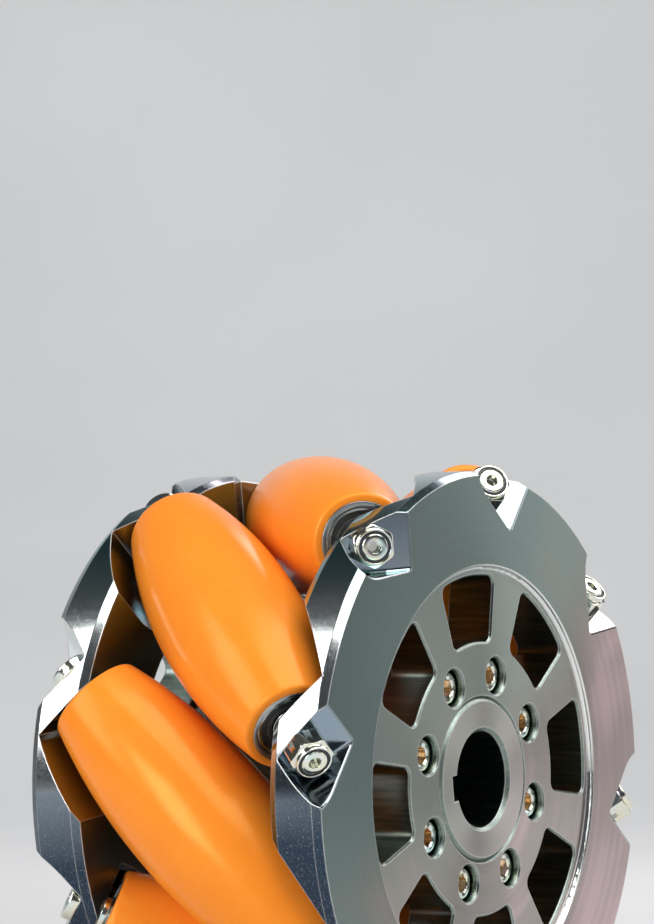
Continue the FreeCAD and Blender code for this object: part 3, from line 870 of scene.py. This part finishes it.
def dress_cad_nodes():
    for node, material in (("front_plate", "plate"), ("rear_plate", "plate"), ("hub", "hub")):
        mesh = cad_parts[node].data
        mesh.materials.clear()
        mesh.materials.append(MATERIALS[material])


# ---- studio -----------------------------------------------------------------

FLOOR_LEVEL = -WHEEL_RADIUS * MM
CAMERA_AZIMUTH = math.radians(-56.805)
CAMERA_ELEVATION = math.radians(-2.038)
CAMERA_DISTANCE = 1.28088
CAMERA_RIGHT = -0.00582
CAMERA_UP = 0.09951
FOCAL_LENGTH = 157.156
SENSOR_WIDTH = 36.0
NEAREST_SEEN = 0.01


SHEET_FRONT = -1.05           # the paper sheet, measured from the wheel away from the camera
SHEET_BEND_START = 1.6
SHEET_BEND_RADIUS = 1.2
SHEET_BEND_STEPS = 12
SHEET_TOP = 4.5
SHEET_HALF_WIDTH = 4.0
PAPER_DEPTH = 0.0002
PAPER_TINTS = [(0.3, (0.58, 0.585, 0.59)), (0.7, (0.62, 0.625, 0.63))]

SKY_COLOUR = (0.86, 0.92, 1.0, 1.0)
SKY_STRENGTH = 0.06
NEUTRAL = (1.0, 1.0, 1.0)
# name, direction from the wheel, distance, width, height, power in watts, colour
SOFT_BOXES = [
    ("front_top", (-0.15, -0.45, 0.95), 1.2, 1.25, 0.95, 16.0, NEUTRAL),
    ("rear_left", (-0.72, 0.55, 0.46), 1.3, 0.5, 0.85, 5.5, NEUTRAL),
    ("right_top", (0.75, -0.08, 0.62), 1.3, 0.8, 0.6, 5.5, (1.0, 0.93, 0.95)),
    ("left", (-0.96, 0.06, 0.24), 1.3, 0.42, 0.62, 7.0, NEUTRAL),
    ("front_right", (0.52, -0.81, 0.27), 1.4, 0.8, 0.6, 2.6, (1.0, 0.97, 0.95)),
    ("right", (0.94, -0.34, 0.06), 1.4, 0.5, 0.3, 0.7, (1.0, 0.93, 0.9)),
]
WASH_WIDTH = 2.4              # the wash lights the backdrop and is turned away from the wheel
WASH_DEPTH = 0.5
WASH_POWER = 34.0
WASH_DISTANCE = 0.9
WASH_HEIGHT = 1.5
WASH_FALL = 0.55              # how far it points down for each metre away

AWAY = Vector((-math.sin(CAMERA_AZIMUTH), math.cos(CAMERA_AZIMUTH), 0))
ASIDE = Vector((math.cos(CAMERA_AZIMUTH), math.sin(CAMERA_AZIMUTH), 0))


def build_camera():
    up = Vector((0, 0, 1))
    back = -AWAY * math.cos(CAMERA_ELEVATION) + up * math.sin(CAMERA_ELEVATION)
    camera_up = back.cross(ASIDE)
    data = bpy.data.cameras.new("camera")
    data.lens = FOCAL_LENGTH
    data.sensor_width = SENSOR_WIDTH
    data.clip_start = NEAREST_SEEN
    camera = bpy.data.objects.new("camera", data)
    bpy.context.scene.collection.objects.link(camera)
    place = back * CAMERA_DISTANCE + ASIDE * CAMERA_RIGHT + camera_up * CAMERA_UP
    turn = Matrix((ASIDE, camera_up, back)).transposed()
    camera.matrix_world = Matrix.Translation(place) @ turn.to_4x4()
    bpy.context.scene.camera = camera


def sheet_outline():
    """Distance and height of the paper's fold lines, from its front edge to its top."""
    outline = [(SHEET_FRONT, 0.0), (SHEET_BEND_START, 0.0)]
    for step in range(1, SHEET_BEND_STEPS + 1):
        angle = math.pi / 2 * step / SHEET_BEND_STEPS
        distance = SHEET_BEND_START + SHEET_BEND_RADIUS * math.sin(angle)
        height = SHEET_BEND_RADIUS - SHEET_BEND_RADIUS * math.cos(angle)
        outline.append((distance, height))
    outline.append((SHEET_BEND_START + SHEET_BEND_RADIUS, SHEET_TOP))
    return outline


def studio_paper():
    look = Look("studio_paper")
    fibres = look.noise(240.0, detail=3.0)
    patches = look.noise(2.5, detail=2.0)
    look.set(Base_Color=look.ramp(patches, PAPER_TINTS), Roughness=look.span(fibres, 0.75, 0.9))
    look.set(Normal=look.bump(fibres, 0.05, PAPER_DEPTH))
    return look.material


def build_floor():
    """Pale floor sweeping up into a backdrop behind the wheel."""
    points = []
    faces = []
    for i, (distance, height) in enumerate(sheet_outline()):
        for side in (-SHEET_HALF_WIDTH, SHEET_HALF_WIDTH):
            points.append(AWAY * distance + ASIDE * side + Vector((0, 0, FLOOR_LEVEL + height)))
        if i:
            faces.append((2 * i - 2, 2 * i - 1, 2 * i + 1, 2 * i))
    mesh = bpy.data.meshes.new("floor")
    mesh.from_pydata(points, [], faces)
    mesh.shade_smooth()
    mesh.materials.append(studio_paper())
    floor = bpy.data.objects.new("floor", mesh)
    bpy.context.scene.collection.objects.link(floor)


def area_light(name, place, backwards, width, height, power, colour=NEUTRAL):
    """Rectangular light at a place, shining opposite to the backwards direction."""
    light = bpy.data.lights.new(name, "AREA")
    light.shape = "RECTANGLE"
    light.size = width
    light.size_y = height
    light.energy = power
    light.color = colour
    lamp = bpy.data.objects.new(name, light)
    bpy.context.scene.collection.objects.link(lamp)
    lamp.location = place
    lamp.rotation_euler = backwards.to_track_quat("Z", "Y").to_euler()


def build_lights():
    world = bpy.data.worlds.new("studio")
    bpy.context.scene.world = world
    world.use_nodes = True
    background = world.node_tree.nodes["Background"]
    background.inputs["Color"].default_value = SKY_COLOUR
    background.inputs["Strength"].default_value = SKY_STRENGTH
    for name, direction, distance, width, height, power, colour in SOFT_BOXES:
        towards = Vector(direction).normalized()
        area_light(name, towards * distance, towards, width, height, power, colour)
    place = AWAY * WASH_DISTANCE + Vector((0, 0, WASH_HEIGHT))
    backwards = Vector((0, 0, WASH_FALL)) - AWAY
    area_light("backdrop_wash", place, backwards, WASH_WIDTH, WASH_DEPTH, WASH_POWER)


build_rollers()
build_fasteners()
dress_cad_nodes()
build_camera()
build_floor()
build_lights()
bpy.context.scene.view_settings.view_transform = "Standard"
